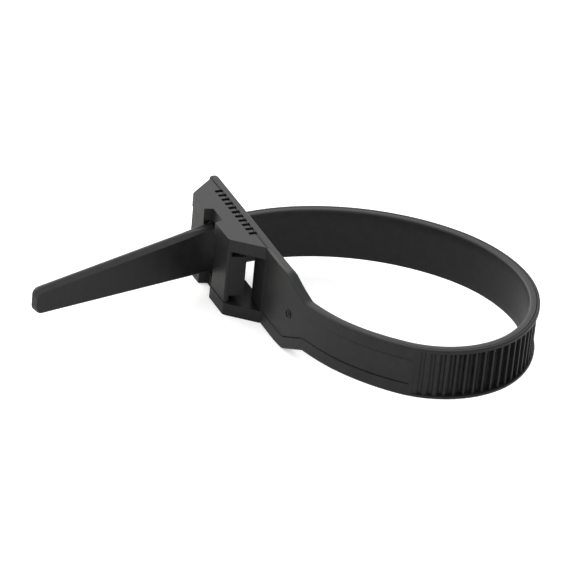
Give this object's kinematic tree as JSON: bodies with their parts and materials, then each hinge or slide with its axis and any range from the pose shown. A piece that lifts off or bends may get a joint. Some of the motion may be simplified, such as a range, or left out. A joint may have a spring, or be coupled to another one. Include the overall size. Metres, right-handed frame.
{
  "type": "cable tie",
  "caption": "One-piece cable tie closed into a loop: flat head plate with a locking block, strap with cross teeth on its outer side, and a tapered tail through the head.",
  "frame": {"origin": "on the flat underside of the head, below the middle of the plate's thickness, halfway along the block", "axes": "+X along the plate towards the strap's root, +Y from the head into the loop, +Z across the strap's width"},
  "size_m": [0.0596, 0.0787, 0.0142],
  "materials": {
    "black_nylon": "matt moulded black nylon, slightly mottled"
  },
  "bodies": {
    "root": {"cable_tie": "black_nylon"}
  },
  "joints": []
}
